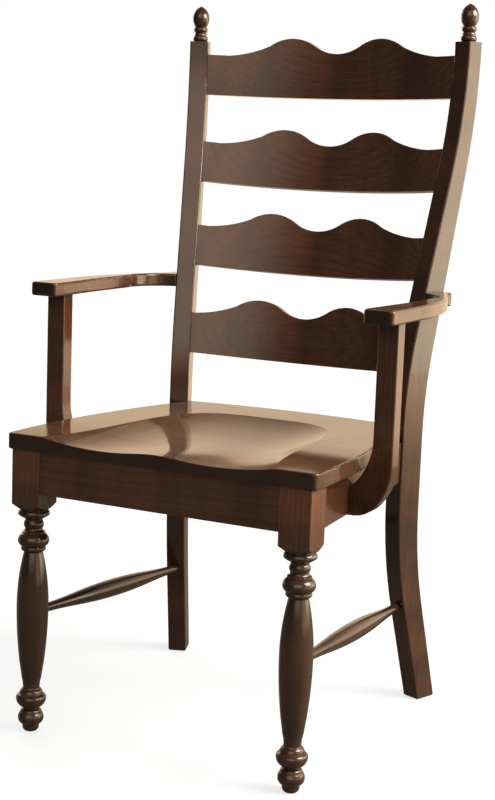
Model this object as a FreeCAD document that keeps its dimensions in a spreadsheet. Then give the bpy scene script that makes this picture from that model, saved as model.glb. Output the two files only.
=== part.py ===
import FreeCAD, Part
import math
import os
import Sketcher

# Ladderback armchair, wood throughout, in millimetres
# z is up, +y is the chair's back, and the chair is symmetric about x = 0.
# Left and right are the sitter's. Left is +x: it is modelled, and the right side is its mirror image.
# Until place() centres it, y is counted from the axis of the front legs.

sizes = {
    # Seat, scooped and glued up from boards that run front to back
    "seat_rim_height": 457,
    "seat_thick": 24,
    "seat_side_overhang": 7.5,
    "seat_front_overhang": 3.5,
    "seat_corner_round": 8,
    "seat_edge_on_post": 7,
    "seat_rear_on_post": 14,
    "seat_rear_bow": 17,
    "seat_top_round": 3,
    "seat_bottom_round": 3,

    # Scoop of the seat: its depth, the oval that it fills, and the swell between the thighs
    "scoop_front_depth": 10.1,
    "scoop_rear_depth": 14.5,
    "scoop_deepening": 60,
    "scoop_length": 358,
    "scoop_half_width": 152,
    "scoop_front_flare": 38,
    "scoop_flare_length": 70,
    "swell_height": 6.1,
    "swell_half_width": 52,
    "swell_length": 110,

    # Front legs: a square block, cut to the round by a cone, and turned below
    "leg_half_spread": 217.5,
    "leg_block": 48,
    "leg_block_length": 81.5,
    "leg_block_round": 1.5,
    "leg_shoulder_angle": 36,

    # Upper turning of the leg: radii, and distances below the corners of the block
    "disc_top_radius": 20.5,
    "disc_radius": 23.5, "disc_drop": 15.5,
    "disc_under_radius": 21, "disc_under_drop": 19.2,
    "leg_neck_radius": 12.8, "leg_neck_drop": 24.3, "leg_neck_end_drop": 26,
    "leg_bead_radius": 14.9, "leg_bead_drop": 32,
    "bead_under_radius": 12.9, "bead_under_drop": 38,
    "step_radius": 17, "step_drop": 43, "step_end_drop": 44.7,
    "ring_top_radius": 16.4, "ring_top_drop": 45.5,
    "ring_radius": 23.2, "ring_drop": 56.5,
    "ring_under_radius": 18.6, "ring_under_drop": 64.5,
    "cuff_top_radius": 17.9, "cuff_top_drop": 66,
    "cuff_radius": 18.6, "cuff_drop": 68.5,
    "cuff_under_radius": 17.2, "cuff_under_drop": 71.7,
    "vase_top_radius": 14, "vase_top_drop": 74,

    # Vase and foot of the leg: radii, and heights above the floor
    "vase_radius": 23.7, "vase_height": 195,
    "vase_low_radius": 18.3, "vase_low_height": 108,
    "vase_foot_radius": 14.6, "vase_foot_height": 83,
    "ankle_radius": 12.5, "ankle_height": 68,
    "collar_top_radius": 13, "collar_top_height": 66.5,
    "collar_radius": 17.5, "collar_height": 58.3,
    "ball_top_radius": 19.4, "ball_top_height": 57.3,
    "ball_radius": 22.6, "ball_height": 51.8,
    "ball_under_radius": 11.2, "ball_under_height": 37, "foot_neck_height": 35.6,
    "foot_collar_radius": 15.8, "foot_collar_height": 29.8,
    "foot_ring_top_radius": 16.8, "foot_ring_top_height": 29,
    "foot_ring_radius": 19.3, "foot_ring_height": 21,
    "foot_ring_under_radius": 13.8, "foot_ring_under_height": 11.5,
    "toe_radius": 12.5, "toe_top_height": 10.9, "toe_height": 7,
    "toe_tip_radius": 7.5,

    # Back posts, sawn to an S, and turned in plan so that their fronts face the sitter
    "post_corner_out": 181.4,
    "post_corner_back": 393,
    "post_turn": 20.4,
    "post_width": 31,
    "post_depth": 46.5,
    "post_edge_round": 2.5,
    "post_foot_chamfer": 3,
    "front_foot_angle": 15.6, "front_foot_bend": 650, "front_foot_drop": 35,
    "front_knee_drop": 7, "front_knee_bend": 640, "front_lean": 14.3, "front_crown_bend": 830,
    "back_foot_angle": 14.5, "back_foot_bend": 620, "back_foot_drop": 50,
    "back_knee_drop": 17, "back_knee_bend": 680, "back_lean": 11.5, "back_crown_bend": 980,

    # Finials: radii, and heights above the top of the post
    "finial_foot_radius": 10, "finial_base_radius": 12.8, "finial_base_height": 5.5,
    "finial_base_top_radius": 10.4, "finial_base_top_height": 9.2,
    "finial_bead_radius": 10.6, "finial_bead_height": 11.5,
    "finial_neck_radius": 8.9, "finial_neck_height": 14.7,
    "finial_ring_radius": 11.9, "finial_ring_height": 20.3,
    "finial_throat_radius": 8.8, "finial_throat_height": 23.7,
    "finial_egg_radius": 14.2, "finial_egg_height": 38.7,
    "finial_height": 58.7,
    "finial_tenon_radius": 5,
    "finial_tenon_length": 20,

    # Slats, bowed to a circle in plan and leaning with the posts
    "slat_thick": 14,
    "slat_setback": 3.5,
    "slat_mortise": 14,
    "slat_end_height": 66.5,
    "slat_foot_out": 185,
    "slat_hump_out": 118, "slat_hump_foot_height": 84.5,
    "slat_dip_out": 40, "slat_dip_foot_height": 85.5,
    "slat_foot_bend": 204,
    "slat_hump_bend": 66.2,
    "slat_dip_bend": 72.7,
    "slat_4_over_seat": 82.7,
    "slat_3_over_slat_4": 145.5,
    "slat_2_over_slat_3": 138.9,
    "slat_1_over_slat_2": 143.6,
    "post_top_over_slat_1": 87.6,

    # Aprons and their tenons
    "apron_height": 63,
    "apron_thick": 20,
    "apron_setback": 2,
    "side_apron_setback": 5,
    "side_apron_rear_out": 207.5,
    "back_apron_setback": 2,
    "back_apron_thick": 18,
    "tenon_thick": 10,
    "tenon_shoulder": 6,
    "leg_tenon_length": 16,
    "side_post_tenon": 9,
    "back_post_tenon": 8,
    "back_tenon_thick": 8,

    # Corner blocks and the screws in them
    "block_near": 28,
    "block_far": 55,
    "block_height": 40,
    "screw_radius": 2.2,
    "screw_head_radius": 4.2,
    "screw_head_height": 2.8,
    "screw_head_gap": 0.5,
    "block_screw_length": 24,
    "block_screw_in_block": 10,
    "seat_screw_length": 44,
    "seat_screw_recess": 8,

    # Arms
    "arm_over_seat": 189.5,
    "arm_thick": 21,
    "arm_edge_round": 3.5,
    "arm_corner_round": 7.5,
    "arm_front": 96,
    "arm_inner_overhang": 9,
    "arm_outer_overhang": 6.6,
    "arm_inner_start": 120,
    "arm_waist": 11.5, "arm_waist_back": 330, "arm_waist_bend": 2215,
    "arm_hook_bend": 69.4, "arm_hook_on_post": 31.6,
    "arm_outer_start": 200,
    "arm_shoulder_in": 35.6, "arm_shoulder_back": 407, "arm_shoulder_bend": 488,
    "arm_heel_in": 45.6, "arm_heel_back": 438,
    "arm_heel_on_post": 84, "arm_heel_bend": 16.2,

    # Arm supports, sawn to a J that curls in under the seat
    "support_front": 134,
    "support_thick": 25,
    "support_from_seat": 11,
    "support_width": 31,
    "support_outer_bend_drop": 12, "support_outer_bend": 92.3, "support_outer_sweep": 41.4,
    "support_curl_bend": 46.6,
    "support_inner_bend_rise": 23, "support_inner_bend": 93.6,
    "support_edge_round": 2.5,
    "support_screw_rise": 10,
    "support_screw_spacing": 18,
    "support_screw_length": 44,
    "dowel_radius": 4,
    "dowel_spacing": 15,
    "dowel_in_support": 22,
    "dowel_in_arm": 14,

    # Screws that hold the arms to the posts, under turned plugs
    "arm_screw_on_post": 54.5,
    "arm_screw_length": 43,
    "plug_radius": 4.75,
    "plug_depth": 8,

    # Side stretchers
    "stretcher_front_height": 184.5,
    "stretcher_rear_height": 162,
    "stretcher_end_radius": 6.5,
    "stretcher_quarter_radius": 10.6,
    "stretcher_end_bend": 1520,
    "stretcher_middle_bend": 1388,
    "stretcher_quarter": 95,
    "stretcher_tenon": 18,
}


# A size, kept both as a number and as the formula over the sheet that gives it

class Size:
    def __init__(self, value, formula):
        self.value = value
        self.formula = formula

    def __add__(self, other):
        return join(self, "+", other)

    def __radd__(self, other):
        return join(other, "+", self)

    def __sub__(self, other):
        return join(self, "-", other)

    def __rsub__(self, other):
        return join(other, "-", self)

    def __mul__(self, other):
        return join(self, "*", other)

    def __rmul__(self, other):
        return join(other, "*", self)

    def __truediv__(self, other):
        return join(self, "/", other)

    def __rtruediv__(self, other):
        return join(other, "/", self)

    def __neg__(self):
        return join(0, "-", self)


def as_size(number):
    return number if isinstance(number, Size) else Size(float(number), repr(number))


def join(left, sign, right):
    left = as_size(left)
    right = as_size(right)
    if sign == "+":
        value = left.value + right.value
    elif sign == "-":
        value = left.value - right.value
    elif sign == "*":
        value = left.value * right.value
    else:
        value = left.value / right.value
    return Size(value, f"({left.formula} {sign} {right.formula})")


def sine(angle):
    return Size(math.sin(math.radians(angle.value)), f"sin({angle.formula})")


def cosine(angle):
    return Size(math.cos(math.radians(angle.value)), f"cos({angle.formula})")


def tangent(angle):
    return Size(math.tan(math.radians(angle.value)), f"tan({angle.formula})")


def root(number):
    return Size(math.sqrt(number.value), f"sqrt({number.formula})")


def magnitude(number):
    return Size(abs(number.value), f"abs({number.formula})")


def slope_angle(rise, run):
    value = math.degrees(math.atan2(rise.value, run.value))
    return Size(value, f"(atan2({rise.formula}; {run.formula}) / 1 deg)")


# Radius of an arc whose one end is square to the first of two lengths that it spans

def easing_radius(sideways, along):
    return (sideways * sideways + along * along) / (2 * magnitude(sideways))


document = FreeCAD.newDocument("ladderback_armchair")
sheet = document.addObject("Spreadsheet::Sheet", "Sizes")
for row, (name, number) in enumerate(sizes.items(), start=1):
    sheet.set(f"A{row}", name)
    sheet.set(f"B{row}", str(number))
    sheet.setAlias(f"B{row}", name)
document.recompute()


class Namespace:
    pass


s = Namespace()
for name, number in sizes.items():
    setattr(s, name, Size(float(number), f"Sizes.{name}"))


# Moves an object to a point of the chair, tilted about x and then turned about z

def place(item, x=0, y=0, z=0, turn=0, tilt=0):
    spot = "; ".join(as_size(size).formula for size in (x, y - middle_back, z))
    turned = f"rotation(vector(0; 0; 1); {as_size(turn).formula})"
    tilted = f"rotation(vector(1; 0; 0); {as_size(tilt).formula})"
    item.setExpression("Placement", f"placement(vector({spot}); {turned} * {tilted})")


# Sketches: a step of an outline is (x, y) for a line to that point or (x, y, radius) for an arc,
# with its centre on the left of the way for a positive radius and on the right for a negative one.
# The first step closes the outline.

def arc_through(start, end, radius):
    half = (end - start) * 0.5
    normal = FreeCAD.Vector(-half.y, half.x, 0) * (math.copysign(1, radius) / half.Length)
    lift = math.sqrt(radius ** 2 - half.Length ** 2)
    crown = start + half + normal * (lift - abs(radius))
    return Part.Arc(start, crown, end)


def draw(sketch, outline):
    corners = [FreeCAD.Vector(as_size(step[0]).value, as_size(step[1]).value, 0) for step in outline]
    edges = []
    for index, step in enumerate(outline):
        start = corners[index - 1]
        if len(step) == 2:
            edges.append(Part.LineSegment(start, corners[index]))
        else:
            edges.append(arc_through(start, corners[index], as_size(step[2]).value))
    sketch.addGeometry(edges, False)

    def end_at(edge, corner):
        gaps = [(sketch.getPoint(edge, end) - corner).Length for end in (1, 2)]
        return 1 if gaps[0] < gaps[1] else 2

    constraints = []
    formulas = {}
    for index, step in enumerate(outline):
        following = (index + 1) % len(outline)
        own_end = end_at(index, corners[index])
        next_end = end_at(following, corners[index])
        constraints.append(Sketcher.Constraint("Coincident", index, own_end, following, next_end))
        for direction, size in zip(("DistanceX", "DistanceY"), step):
            size = as_size(size)
            formulas[len(constraints)] = size.formula
            constraints.append(Sketcher.Constraint(direction, -1, 1, index, own_end, size.value))
        if len(step) == 3:
            radius = magnitude(as_size(step[2]))
            formulas[len(constraints)] = radius.formula
            constraints.append(Sketcher.Constraint("Radius", index, radius.value))
    sketch.addConstraint(constraints)
    for index, formula in formulas.items():
        sketch.setExpression(f"Constraints[{index}]", formula)


def new_body(name):
    body = document.addObject("PartDesign::Body", name)
    body.Label = name
    return body


def new_sketch(body, plane_role, outline, height=0):
    sketch = body.newObject("Sketcher::SketchObject", body.Name + "_sketch")
    plane = [item for item in body.Origin.OriginFeatures if item.Role == plane_role][0]
    sketch.AttachmentSupport = (plane, "")
    sketch.MapMode = "FlatFace"
    sketch.setExpression("AttachmentOffset.Base.z", as_size(height).formula)
    draw(sketch, outline)
    return sketch


def new_pad(body, plane_role, outline, length, height=0, reversed_way=False):
    pad = body.newObject("PartDesign::Pad", body.Name + "_pad")
    pad.Profile = new_sketch(body, plane_role, outline, height)
    pad.setExpression("Length", as_size(length).formula)
    pad.Reversed = reversed_way
    document.recompute()
    return pad


def new_pocket(body, plane_role, outline):
    pocket = body.newObject("PartDesign::Pocket", body.Name + "_pocket")
    pocket.Profile = new_sketch(body, plane_role, outline)
    pocket.Type = "ThroughAll"
    pocket.SideType = "Symmetric"
    document.recompute()
    return pocket


def new_turning(body, outline, kind="PartDesign::Revolution"):
    turning = body.newObject(kind, body.Name + "_turning")
    sketch = new_sketch(body, "XZ_Plane", outline)
    turning.Profile = sketch
    turning.ReferenceAxis = (sketch, ["V_Axis"])
    document.recompute()
    return turning


# Rounds or chamfers the edges of a body's last feature that a test picks out

def soften(body, size, test, kind="PartDesign::Fillet"):
    base = body.Tip
    names = [f"Edge{i}" for i, edge in enumerate(base.Shape.Edges, start=1) if test(edge)]
    feature = body.newObject(kind, body.Name + "_edges")
    feature.Base = (base, names)
    feature.setExpression("Radius" if kind.endswith("Fillet") else "Size", size.formula)
    document.recompute()
    return feature


# Turns steps (radius, height, form) into an outline down the right side of a turning.
# A round bulges and a hollow caves in, and both run along the axis at their wide or narrow end.

def profile(steps):
    outline = [steps[0][:2]]
    for before, step in zip(steps, steps[1:]):
        if len(step) == 2:
            outline.append(step)
            continue
        radius = easing_radius(before[0] - step[0], before[1] - step[1])
        outline.append((step[0], step[1], -radius if step[2] == "round" else radius))
    return outline


# Cuts out of a piece what is let into it

def cut(name, piece, tools):
    tool = document.addObject("Part::Compound", name + "_tools")
    tool.Links = tools
    result = document.addObject("Part::Cut", name)
    result.Base = piece
    result.Tool = tool
    result.Label = name
    return result


def mirror(name, piece):
    result = document.addObject("Part::Mirroring", name)
    result.Source = piece
    result.Normal = FreeCAD.Vector(1, 0, 0)
    result.Label = name
    return result


def group(name, pieces):
    result = document.addObject("Part::Compound", name)
    result.Links = pieces
    result.Label = name
    return result


def new_cylinder(name, radius, length):
    cylinder = document.addObject("Part::Cylinder", name)
    cylinder.setExpression("Radius", radius.formula)
    cylinder.setExpression("Height", as_size(length).formula)
    return cylinder


# Lines and levels that the pieces share

half_block = s.leg_block / 2
seat_half_width = s.leg_half_spread + half_block + s.seat_side_overhang
seat_bottom = s.seat_rim_height - s.seat_thick
block_end = seat_bottom - s.leg_block_length
apron_bottom = seat_bottom - s.apron_height
seat_front = -half_block - s.seat_front_overhang
arm_underside = s.seat_rim_height + s.arm_over_seat
support_inner = seat_half_width + s.support_from_seat
support_outer = support_inner + s.support_width

# Bottoms of the slats' ends, from the top slat down, and the top of the posts

slat_4_height = s.seat_rim_height + s.slat_4_over_seat
slat_3_height = slat_4_height + s.slat_3_over_slat_4
slat_2_height = slat_3_height + s.slat_2_over_slat_3
slat_1_height = slat_2_height + s.slat_1_over_slat_2
slat_heights = [slat_1_height, slat_2_height, slat_3_height, slat_4_height]
post_top = slat_1_height + s.post_top_over_slat_1
front_foot_top = apron_bottom - s.front_foot_drop
back_foot_top = apron_bottom - s.back_foot_drop
front_knee_bottom = s.seat_rim_height - s.front_knee_drop
back_knee_bottom = s.seat_rim_height - s.back_knee_drop

turn_sine = sine(s.post_turn)
turn_cosine = cosine(s.post_turn)
turn_tangent = tangent(s.post_turn)


# Places on the post in plan: so far out across its front and so far back along its side

def on_post(outward, backward):
    x = s.post_corner_out + turn_cosine * outward + turn_sine * backward
    y = s.post_corner_back - turn_sine * outward + turn_cosine * backward
    return x, y


# The planes of the post's faces, moved into the post by a depth

def post_inner_x(y, depth=0):
    return s.post_corner_out + (y - s.post_corner_back) * turn_tangent + depth / turn_cosine


def post_front_y(x, depth=0):
    return s.post_corner_back - (x - s.post_corner_out) * turn_tangent + depth / turn_cosine


# How far the leaning top of the post's back edge lies behind its straight part

def lean_reach(knee_bottom, knee_bend, lean, crown_bend):
    straight = post_top - knee_bottom - (knee_bend + crown_bend) * sine(lean)
    return (knee_bend + crown_bend) * (1 - cosine(lean)) + straight * tangent(lean)


back_crown = s.post_depth + lean_reach(back_knee_bottom, s.back_knee_bend, s.back_lean, s.back_crown_bend)
front_crown = lean_reach(front_knee_bottom, s.front_knee_bend, s.front_lean, s.front_crown_bend)


# How far back the post's front edge lies at a height above its knee

def front_reach(height):
    knee_top = front_knee_bottom + s.front_knee_bend * sine(s.front_lean)
    crown_bottom = post_top - s.front_crown_bend * sine(s.front_lean)
    if height.value < knee_top.value:
        rise = height - front_knee_bottom
        return s.front_knee_bend - root(s.front_knee_bend * s.front_knee_bend - rise * rise)
    if height.value < crown_bottom.value:
        knee_in = s.front_knee_bend * (1 - cosine(s.front_lean))
        return knee_in + (height - knee_top) * tangent(s.front_lean)
    drop = post_top - height
    return front_crown - s.front_crown_bend + root(s.front_crown_bend * s.front_crown_bend - drop * drop)


# The rear of the chair is the middle of the top slat, which bows and leans back past the posts

def slat_end(height):
    return on_post(0, front_reach(height) + s.slat_setback)


def slat_lean(height):
    rise = s.slat_end_height
    run = (front_reach(height + rise) - front_reach(height)) * turn_cosine
    return slope_angle(run, rise)


top_lean = slat_lean(slat_1_height)
top_end_x, top_end_y = slat_end(slat_1_height)
top_bow = top_end_x * (1 - turn_cosine) / turn_sine
dip_rise = s.slat_dip_bend - root(s.slat_dip_bend * s.slat_dip_bend - s.slat_dip_out * s.slat_dip_out)
dip_height = s.slat_dip_foot_height - dip_rise
rear = top_end_y + (top_bow + s.slat_thick) * cosine(top_lean) + dip_height * sine(top_lean)
middle_back = (rear + seat_front) / 2

side_apron_front_out = s.leg_half_spread + half_block - s.side_apron_setback
side_apron_run = post_front_y(s.side_apron_rear_out) - half_block


def side_apron_x(y, inward=0):
    slant = (side_apron_front_out - s.side_apron_rear_out) / side_apron_run
    return side_apron_front_out - (y - half_block) * slant - inward


# Back posts

# Points of one edge of a post, from the floor up
def post_edge(start, foot_angle, foot_bend, foot_top, knee_bottom, knee_bend, lean, crown_bend):
    foot_end = foot_top - foot_bend * sine(foot_angle)
    foot_in = start + foot_bend * (1 - cosine(foot_angle))
    crown = start + lean_reach(knee_bottom, knee_bend, lean, crown_bend)
    return [
        (foot_in + foot_end * tangent(foot_angle), as_size(0)),
        (foot_in, foot_end),
        (start, foot_top),
        (start, knee_bottom),
        (start + knee_bend * (1 - cosine(lean)), knee_bottom + knee_bend * sine(lean)),
        (crown - crown_bend * (1 - cosine(lean)), post_top - crown_bend * sine(lean)),
        (crown, post_top),
    ]


def make_post():
    body = new_body("post_blank")
    front = post_edge(as_size(0), s.front_foot_angle, s.front_foot_bend, front_foot_top,
                      front_knee_bottom, s.front_knee_bend, s.front_lean, s.front_crown_bend)
    back = post_edge(s.post_depth, s.back_foot_angle, s.back_foot_bend, back_foot_top,
                     back_knee_bottom, s.back_knee_bend, s.back_lean, s.back_crown_bend)
    outline = [
        front[0],
        back[0],
        back[1],
        (*back[2], -s.back_foot_bend),
        back[3],
        (*back[4], -s.back_knee_bend),
        back[5],
        (*back[6], s.back_crown_bend),
        front[6],
        (*front[5], -s.front_crown_bend),
        front[4],
        (*front[3], s.front_knee_bend),
        front[2],
        (*front[1], s.front_foot_bend),
    ]
    new_pad(body, "YZ_Plane", outline, s.post_width)
    soften(body, s.post_foot_chamfer, lambda edge: edge.BoundBox.ZMax < 1, "PartDesign::Chamfer")
    end_levels = s.post_foot_chamfer.value + 0.1
    soften(body, s.post_edge_round,
           lambda edge: edge.BoundBox.XLength < 0.1 and edge.BoundBox.ZMax > end_levels
           and edge.BoundBox.ZLength > 1)
    place(body, s.post_corner_out, s.post_corner_back, turn=-s.post_turn)
    return body


# The post's front edge at a height on its straight or curved foot

def foot_reach(height):
    drop = front_foot_top - height
    return s.front_foot_bend - root(s.front_foot_bend * s.front_foot_bend - drop * drop)


def make_finial():
    body = new_body("finial_left")
    outline = profile([
        (0, s.finial_height),
        (s.finial_egg_radius, s.finial_egg_height, "round"),
        (s.finial_throat_radius, s.finial_throat_height, "round"),
        (s.finial_ring_radius, s.finial_ring_height, "round"),
        (s.finial_neck_radius, s.finial_neck_height, "round"),
        (s.finial_bead_radius, s.finial_bead_height, "round"),
        (s.finial_base_top_radius, s.finial_base_top_height),
        (s.finial_base_radius, s.finial_base_height, "round"),
        (s.finial_foot_radius, 0, "round"),
        (s.finial_tenon_radius, 0),
        (s.finial_tenon_radius, -s.finial_tenon_length),
        (0, -s.finial_tenon_length),
    ])
    new_turning(body, outline)
    x, y = on_post(s.post_width / 2, (front_crown + back_crown) / 2)
    place(body, x, y, post_top)
    return body


# Front leg, with its turning drawn from the block down to the toe

def make_leg():
    body = new_body("leg_blank")
    shoulder = tangent(s.leg_shoulder_angle)
    corner = half_block * root(as_size(2))
    disc_top = block_end - (corner - s.disc_top_radius) * shoulder
    square = [
        (-half_block, -half_block),
        (half_block, -half_block),
        (half_block, half_block),
        (-half_block, half_block),
    ]
    new_pad(body, "XY_Plane", square, seat_bottom - disc_top, height=disc_top)
    soften(body, s.leg_block_round, lambda edge: edge.BoundBox.XLength + edge.BoundBox.YLength < 0.1)
    beyond = corner + s.leg_block
    cone = [
        (s.disc_top_radius, disc_top),
        (beyond, disc_top),
        (beyond, disc_top + (beyond - s.disc_top_radius) * shoulder),
    ]
    new_turning(body, cone, "PartDesign::Groove")
    outline = profile([
        (0, disc_top),
        (s.disc_top_radius, disc_top),
        (s.disc_radius, block_end - s.disc_drop, "round"),
        (s.disc_under_radius, block_end - s.disc_under_drop, "round"),
        (s.leg_neck_radius, block_end - s.leg_neck_drop),
        (s.leg_neck_radius, block_end - s.leg_neck_end_drop),
        (s.leg_bead_radius, block_end - s.leg_bead_drop, "round"),
        (s.bead_under_radius, block_end - s.bead_under_drop, "round"),
        (s.step_radius, block_end - s.step_drop, "hollow"),
        (s.step_radius, block_end - s.step_end_drop),
        (s.ring_top_radius, block_end - s.ring_top_drop),
        (s.ring_radius, block_end - s.ring_drop, "round"),
        (s.ring_under_radius, block_end - s.ring_under_drop, "round"),
        (s.cuff_top_radius, block_end - s.cuff_top_drop),
        (s.cuff_radius, block_end - s.cuff_drop, "round"),
        (s.cuff_under_radius, block_end - s.cuff_under_drop, "round"),
        (s.vase_top_radius, block_end - s.vase_top_drop),
        (s.vase_radius, s.vase_height, "round"),
        (s.vase_low_radius, s.vase_low_height, "round"),
        (s.vase_foot_radius, s.vase_foot_height),
        (s.ankle_radius, s.ankle_height, "hollow"),
        (s.collar_top_radius, s.collar_top_height),
        (s.collar_radius, s.collar_height, "round"),
        (s.ball_top_radius, s.ball_top_height),
        (s.ball_radius, s.ball_height, "round"),
        (s.ball_under_radius, s.ball_under_height, "round"),
        (s.ball_under_radius, s.foot_neck_height),
        (s.foot_collar_radius, s.foot_collar_height, "round"),
        (s.foot_ring_top_radius, s.foot_ring_top_height),
        (s.foot_ring_radius, s.foot_ring_height, "round"),
        (s.foot_ring_under_radius, s.foot_ring_under_height, "round"),
        (s.toe_radius, s.toe_top_height),
        (s.toe_radius, s.toe_height),
        (s.toe_tip_radius, 0, "round"),
        (0, 0),
    ])
    new_turning(body, outline)
    place(body, s.leg_half_spread)
    return body


# Stretcher, turned about the line from the leg's axis to the middle of the post's front

def make_stretcher():
    body = new_body("side_stretcher_left")
    rear_x, rear_y = on_post(s.post_width / 2, foot_reach(s.stretcher_rear_height))
    across = rear_x - s.leg_half_spread
    rise = s.stretcher_rear_height - s.stretcher_front_height
    plan = root(across * across + rear_y * rear_y)
    leg_face = s.vase_radius
    post_face = root(plan * plan + rise * rise)
    middle = (leg_face + post_face) / 2
    quarter_from_middle = (post_face - leg_face) / 2 - s.stretcher_quarter
    outline = [
        (0, leg_face - s.stretcher_tenon),
        (s.stretcher_end_radius, leg_face - s.stretcher_tenon),
        (s.stretcher_end_radius, leg_face),
        (s.stretcher_quarter_radius, leg_face + s.stretcher_quarter, -s.stretcher_end_bend),
        (s.stretcher_quarter_radius, middle + quarter_from_middle, s.stretcher_middle_bend),
        (s.stretcher_end_radius, post_face, -s.stretcher_end_bend),
        (s.stretcher_end_radius, post_face + s.stretcher_tenon),
        (0, post_face + s.stretcher_tenon),
    ]
    new_turning(body, outline)
    place(body, s.leg_half_spread, 0, s.stretcher_front_height,
          turn=-slope_angle(across, rear_y), tilt=slope_angle(rise, plan) - 90)
    return body


# Slats: a bowed board, its top edge cut to two humps and a dip, and its ends let into the posts

def make_slat(number, height, room):
    body = new_body(f"slat_{number}_blank")
    end_x, end_y = slat_end(height)
    reach = s.slat_mortise * 2
    out_x = end_x + turn_cosine * reach
    out_y = -turn_sine * reach
    over_x = turn_sine * s.slat_thick
    over_y = turn_cosine * s.slat_thick
    bend = end_x / turn_sine
    plan = [
        (-out_x, out_y),
        (-end_x, 0),
        (end_x, 0, -bend),
        (out_x, out_y),
        (out_x + over_x, out_y + over_y),
        (end_x + over_x, over_y),
        (-end_x - over_x, over_y, bend + s.slat_thick),
        (-out_x - over_x, out_y + over_y),
    ]
    blank_height = s.slat_hump_foot_height + s.slat_hump_bend
    new_pad(body, "XY_Plane", plan, blank_height)
    beyond = out_x + s.slat_thick
    top_edge = [
        (-beyond, blank_height),
        (-beyond, s.slat_end_height),
        (-s.slat_foot_out, s.slat_end_height),
        (-s.slat_hump_out, s.slat_hump_foot_height, s.slat_foot_bend),
        (-s.slat_dip_out, s.slat_dip_foot_height, -s.slat_hump_bend),
        (s.slat_dip_out, s.slat_dip_foot_height, s.slat_dip_bend),
        (s.slat_hump_out, s.slat_hump_foot_height, -s.slat_hump_bend),
        (s.slat_foot_out, s.slat_end_height, s.slat_foot_bend),
        (beyond, s.slat_end_height),
        (beyond, blank_height),
    ]
    new_pocket(body, "XZ_Plane", top_edge)
    place(body, 0, end_y, height, tilt=-slat_lean(height))
    slat = document.addObject("Part::Common", f"slat_{number}")
    slat.Base = body
    slat.Tool = room
    slat.Label = f"slat_{number}"
    return slat


# The space between the bottoms of the slats' mortises

def make_slat_room():
    body = new_body("slat_room")
    front = s.post_corner_back
    back = s.post_corner_back + back_crown * 2
    outline = [
        (-post_inner_x(front, s.slat_mortise), front),
        (post_inner_x(front, s.slat_mortise), front),
        (post_inner_x(back, s.slat_mortise), back),
        (-post_inner_x(back, s.slat_mortise), back),
    ]
    new_pad(body, "XY_Plane", outline, post_top * 2)
    place(body)
    return body


# Aprons, each with a thinner and lower tenon at either end

def new_apron(name, board, tenon):
    body = new_body(name)
    new_pad(body, "XY_Plane", board, s.apron_height, height=apron_bottom)
    new_pad(body, "XY_Plane", tenon, s.apron_height - s.tenon_shoulder * 2,
            height=apron_bottom + s.tenon_shoulder)
    place(body)
    return body


def make_front_apron():
    face = -half_block + s.apron_setback
    end = s.leg_half_spread - half_block
    cheek = (s.apron_thick - s.tenon_thick) / 2
    tip = end + s.leg_tenon_length
    board = [(-end, face), (end, face), (end, face + s.apron_thick), (-end, face + s.apron_thick)]
    low = face + cheek
    high = low + s.tenon_thick
    tenon = [(-tip, low), (tip, low), (tip, high), (-tip, high)]
    return new_apron("front_apron_blank", board, tenon)


# The point where a line inside the side apron meets the post's front, or a depth behind it

def side_apron_end(inward, depth=0):
    slant = (side_apron_front_out - s.side_apron_rear_out) / side_apron_run
    y = (post_front_y(side_apron_x(0, inward), depth)) / (1 - slant * turn_tangent)
    return side_apron_x(y, inward), y


def make_side_apron():
    cheek = (s.apron_thick - s.tenon_thick) / 2
    board = [
        (side_apron_x(half_block, s.apron_thick), half_block),
        (side_apron_x(half_block), half_block),
        side_apron_end(0),
        side_apron_end(s.apron_thick),
    ]
    tip = half_block - s.leg_tenon_length
    tenon = [
        (side_apron_x(tip, s.apron_thick - cheek), tip),
        (side_apron_x(tip, cheek), tip),
        side_apron_end(cheek, s.side_post_tenon),
        side_apron_end(s.apron_thick - cheek, s.side_post_tenon),
    ]
    return new_apron("side_apron_blank", board, tenon)


def make_back_apron():
    front = s.post_corner_back + s.back_apron_setback
    back = front + s.back_apron_thick
    board = [
        (-post_inner_x(front), front),
        (post_inner_x(front), front),
        (post_inner_x(back), back),
        (-post_inner_x(back), back),
    ]
    low = front + (s.back_apron_thick - s.back_tenon_thick) / 2
    high = low + s.back_tenon_thick
    tenon = [
        (-post_inner_x(low, s.back_post_tenon), low),
        (post_inner_x(low, s.back_post_tenon), low),
        (post_inner_x(high, s.back_post_tenon), high),
        (-post_inner_x(high, s.back_post_tenon), high),
    ]
    return new_apron("back_apron_blank", board, tenon)


# Screws, driven up along z before they are placed, and the bore that lets the head in

def new_screw(name, length, recess, **where):
    screw = new_body(name)
    new_turning(screw, [
        (0, 0),
        (s.screw_head_radius, 0),
        (s.screw_radius, s.screw_head_height),
        (s.screw_radius, length - s.screw_radius * 2),
        (0, length),
    ])
    place(screw, **where)
    bore = new_body(name + "_bore")
    wall = s.screw_head_radius + s.screw_head_gap
    new_turning(bore, [(0, -recess), (wall, -recess), (wall, 0), (0, 0)])
    place(bore, **where)
    return screw, bore


# Corner blocks, glued in the corners of the aprons, each with a screw into either apron
# and one up into the seat. The way along y is 1 at the front corner and -1 at the rear.

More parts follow.
